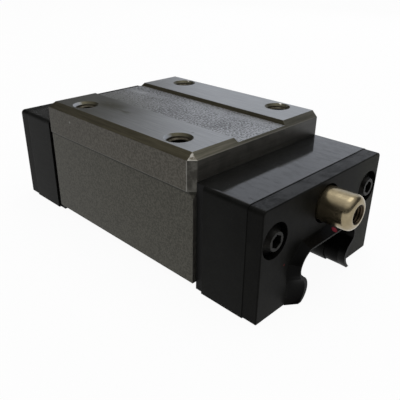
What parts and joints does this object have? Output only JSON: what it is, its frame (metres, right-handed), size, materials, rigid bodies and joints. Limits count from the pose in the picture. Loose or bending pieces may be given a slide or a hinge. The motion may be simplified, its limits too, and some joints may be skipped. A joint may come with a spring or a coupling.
{
  "type": "linear bearing block",
  "caption": "Narrow recirculating-ball carriage for a profiled rail, with tapped mounting holes on top, plastic end caps, flared end seals and a grease nipple at one end.",
  "frame": {"origin": "centre of the four mounting holes, in the plane of the two mounting pads", "axes": "+X along the rail, towards the end with the grease nipple; +Z out of the mounting pads; +Y across the rail"},
  "size_m": [0.0739, 0.034, 0.0241],
  "materials": {
    "ground_steel": "ground, slightly worn and oily",
    "black_plastic": "moulded, satin",
    "seal_rubber": "moulded, matte",
    "black_screws": "black oxide",
    "plated_steel": "plated, turned",
    "ball_steel": "polished",
    "guide_plastic": "moulded"
  },
  "bodies": {
    "root": {"steel_body": "ground_steel", "front_end_cap": "black_plastic", "front_end_seal": "seal_rubber", "front_cap_screws": "black_screws", "front_left_return_guide": "guide_plastic", "front_right_return_guide": "guide_plastic", "rear_end_cap": "black_plastic", "rear_end_seal": "seal_rubber", "rear_cap_screws": "black_screws", "rear_left_return_guide": "guide_plastic", "rear_right_return_guide": "guide_plastic", "grease_nipple": "plated_steel", "rear_lube_plug": "black_screws", "top_retainer": "guide_plastic", "left_centre_retainer": "guide_plastic", "left_bottom_retainer": "guide_plastic", "left_bottom_seal": "seal_rubber", "upper_left_balls": "ball_steel", "lower_left_balls": "ball_steel", "right_centre_retainer": "guide_plastic", "right_bottom_retainer": "guide_plastic", "right_bottom_seal": "seal_rubber", "upper_right_balls": "ball_steel", "lower_right_balls": "ball_steel"}
  },
  "joints": []
}
